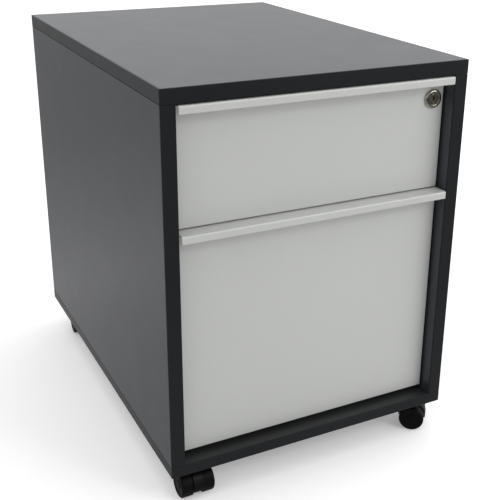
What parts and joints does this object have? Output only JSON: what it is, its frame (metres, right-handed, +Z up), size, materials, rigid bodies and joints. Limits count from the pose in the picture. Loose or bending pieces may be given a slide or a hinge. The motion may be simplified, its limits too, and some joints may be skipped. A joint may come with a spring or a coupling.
{
  "type": "rolling pedestal cabinet",
  "caption": "Under-desk pedestal on swivel casters with a lockable shallow upper drawer and a deep hanging-file drawer on ball slides, each with a full-width lip handle.",
  "frame": {"origin": "floor level, on the vertical line through the centre of the carcass", "axes": "+X to the right seen from the front, +Y from the front to the back, +Z up; drawers open along -Y"},
  "size_m": [0.4306, 0.6025, 0.563],
  "materials": {
    "melamine": "satin anthracite melamine board",
    "edging": "satin anthracite plastic edging",
    "beech": "raw fluted beech",
    "front_paint": "satin light grey powder coat",
    "handle_paint": "satin light grey powder coat",
    "tray_paint": "matt grey powder coat",
    "zinc": "bright zinc plate",
    "chrome": "polished nickel",
    "black_plastic": "moulded black plastic",
    "black_wheel": "moulded black plastic"
  },
  "bodies": {
    "carcass": {"top_panel": "melamine", "bottom_panel": "melamine", "left_side_panel": "melamine", "right_side_panel": "melamine", "back_panel": "melamine", "edge_bands": "edging", "panel_dowels": "beech", "cam_discs": "zinc", "cam_bolts": "zinc", "upper_slide_outer_left": "zinc", "upper_slide_outer_right": "zinc", "lower_slide_outer_left": "zinc", "lower_slide_outer_right": "zinc", "carcass_screws": "zinc", "lock_strike": "zinc", "caster_plates": "zinc"},
    "upper_drawer": {"upper_front": "front_paint", "upper_handle": "handle_paint", "upper_tray": "tray_paint", "upper_tray_back": "tray_paint", "upper_front_screws": "zinc", "upper_slide_inner_left": "zinc", "upper_slide_inner_right": "zinc", "upper_slide_screws": "zinc", "lock_housing": "chrome", "lock_nut": "zinc"},
    "lock": {"lock_plug": "chrome", "lock_cam": "zinc", "lock_cam_screw": "zinc"},
    "upper_cages": {"upper_ball_cages": "zinc"},
    "lower_drawer": {"lower_front": "front_paint", "lower_handle": "handle_paint", "lower_tray": "tray_paint", "lower_tray_back": "tray_paint", "file_rails": "zinc", "lower_front_screws": "zinc", "lower_slide_inner_left": "zinc", "lower_slide_inner_right": "zinc", "lower_slide_screws": "zinc"},
    "lower_mids": {"lower_slide_mid_left": "zinc", "lower_slide_mid_right": "zinc"},
    "lower_cages_outer": {"lower_ball_cages_outer": "zinc"},
    "lower_cages_inner": {"lower_ball_cages_inner": "zinc"},
    "caster_fl": {"caster_fl_hood": "black_plastic", "caster_fl_axle": "zinc"},
    "wheel_fl_left": {"caster_fl_wheel_left": "black_wheel"},
    "wheel_fl_right": {"caster_fl_wheel_right": "black_wheel"},
    "caster_fr": {"caster_fr_hood": "black_plastic", "caster_fr_axle": "zinc"},
    "wheel_fr_left": {"caster_fr_wheel_left": "black_wheel"},
    "wheel_fr_right": {"caster_fr_wheel_right": "black_wheel"},
    "caster_bl": {"caster_bl_hood": "black_plastic", "caster_bl_axle": "zinc"},
    "wheel_bl_left": {"caster_bl_wheel_left": "black_wheel"},
    "wheel_bl_right": {"caster_bl_wheel_right": "black_wheel"},
    "caster_br": {"caster_br_hood": "black_plastic", "caster_br_axle": "zinc"},
    "wheel_br_left": {"caster_br_wheel_left": "black_wheel"},
    "wheel_br_right": {"caster_br_wheel_right": "black_wheel"}
  },
  "joints": [
    {"name": "upper_drawer_slide", "type": "slide", "parent": "carcass", "child": "upper_drawer", "axis": [0, -1, 0], "range_m": [0, 0.375]},
    {"name": "upper_cages_slide", "type": "slide", "parent": "carcass", "child": "upper_cages", "axis": [0, -1, 0], "range_m": [0, 0.1875]},
    {"name": "lock_turn", "type": "hinge", "parent": "upper_drawer", "child": "lock", "pos_m": [0.1748, -0.28, 0.5103], "axis": [0, 1, 0], "range_deg": [0, 90]},
    {"name": "lower_drawer_slide", "type": "slide", "parent": "carcass", "child": "lower_drawer", "axis": [0, -1, 0], "range_m": [0, 0.49]},
    {"name": "lower_mids_slide", "type": "slide", "parent": "carcass", "child": "lower_mids", "axis": [0, -1, 0], "range_m": [0, 0.245]},
    {"name": "lower_cages_outer_slide", "type": "slide", "parent": "carcass", "child": "lower_cages_outer", "axis": [0, -1, 0], "range_m": [0, 0.1225]},
    {"name": "lower_cages_inner_slide", "type": "slide", "parent": "carcass", "child": "lower_cages_inner", "axis": [0, -1, 0], "range_m": [0, 0.3675]},
    {"name": "caster_fl_swivel", "type": "hinge", "parent": "carcass", "child": "caster_fl", "pos_m": [-0.175, -0.261, 0.04], "axis": [0, 0, 1], "continuous": true},
    {"name": "wheel_fl_left_spin", "type": "hinge", "parent": "caster_fl", "child": "wheel_fl_left", "pos_m": [-0.175, -0.2785, 0.0185], "axis": [1, 0, 0], "continuous": true},
    {"name": "wheel_fl_right_spin", "type": "hinge", "parent": "caster_fl", "child": "wheel_fl_right", "pos_m": [-0.175, -0.2785, 0.0185], "axis": [1, 0, 0], "continuous": true},
    {"name": "caster_fr_swivel", "type": "hinge", "parent": "carcass", "child": "caster_fr", "pos_m": [0.175, -0.261, 0.04], "axis": [0, 0, 1], "continuous": true},
    {"name": "wheel_fr_left_spin", "type": "hinge", "parent": "caster_fr", "child": "wheel_fr_left", "pos_m": [0.18841, -0.27225, 0.0185], "axis": [0.6428, 0.766, 0], "continuous": true},
    {"name": "wheel_fr_right_spin", "type": "hinge", "parent": "caster_fr", "child": "wheel_fr_right", "pos_m": [0.18841, -0.27225, 0.0185], "axis": [0.6428, 0.766, 0], "continuous": true},
    {"name": "caster_bl_swivel", "type": "hinge", "parent": "carcass", "child": "caster_bl", "pos_m": [-0.175, 0.253, 0.04], "axis": [0, 0, 1], "continuous": true},
    {"name": "wheel_bl_left_spin", "type": "hinge", "parent": "caster_bl", "child": "wheel_bl_left", "pos_m": [-0.17622, 0.23554, 0.0185], "axis": [0.9976, -0.0698, 0], "continuous": true},
    {"name": "wheel_bl_right_spin", "type": "hinge", "parent": "caster_bl", "child": "wheel_bl_right", "pos_m": [-0.17622, 0.23554, 0.0185], "axis": [0.9976, -0.0698, 0], "continuous": true},
    {"name": "caster_br_swivel", "type": "hinge", "parent": "carcass", "child": "caster_br", "pos_m": [0.175, 0.253, 0.04], "axis": [0, 0, 1], "continuous": true},
    {"name": "wheel_br_left_spin", "type": "hinge", "parent": "caster_br", "child": "wheel_br_left", "pos_m": [0.18504, 0.23866, 0.0185], "axis": [0.8192, 0.5736, 0], "continuous": true},
    {"name": "wheel_br_right_spin", "type": "hinge", "parent": "caster_br", "child": "wheel_br_right", "pos_m": [0.18504, 0.23866, 0.0185], "axis": [0.8192, 0.5736, 0], "continuous": true}
  ],
  "couplings": [
    {"joint": "upper_cages_slide", "follows": "upper_drawer_slide", "ratio": 0.5},
    {"joint": "lower_mids_slide", "follows": "lower_drawer_slide", "ratio": 0.5},
    {"joint": "lower_cages_outer_slide", "follows": "lower_drawer_slide", "ratio": 0.25},
    {"joint": "lower_cages_inner_slide", "follows": "lower_drawer_slide", "ratio": 0.75}
  ]
}
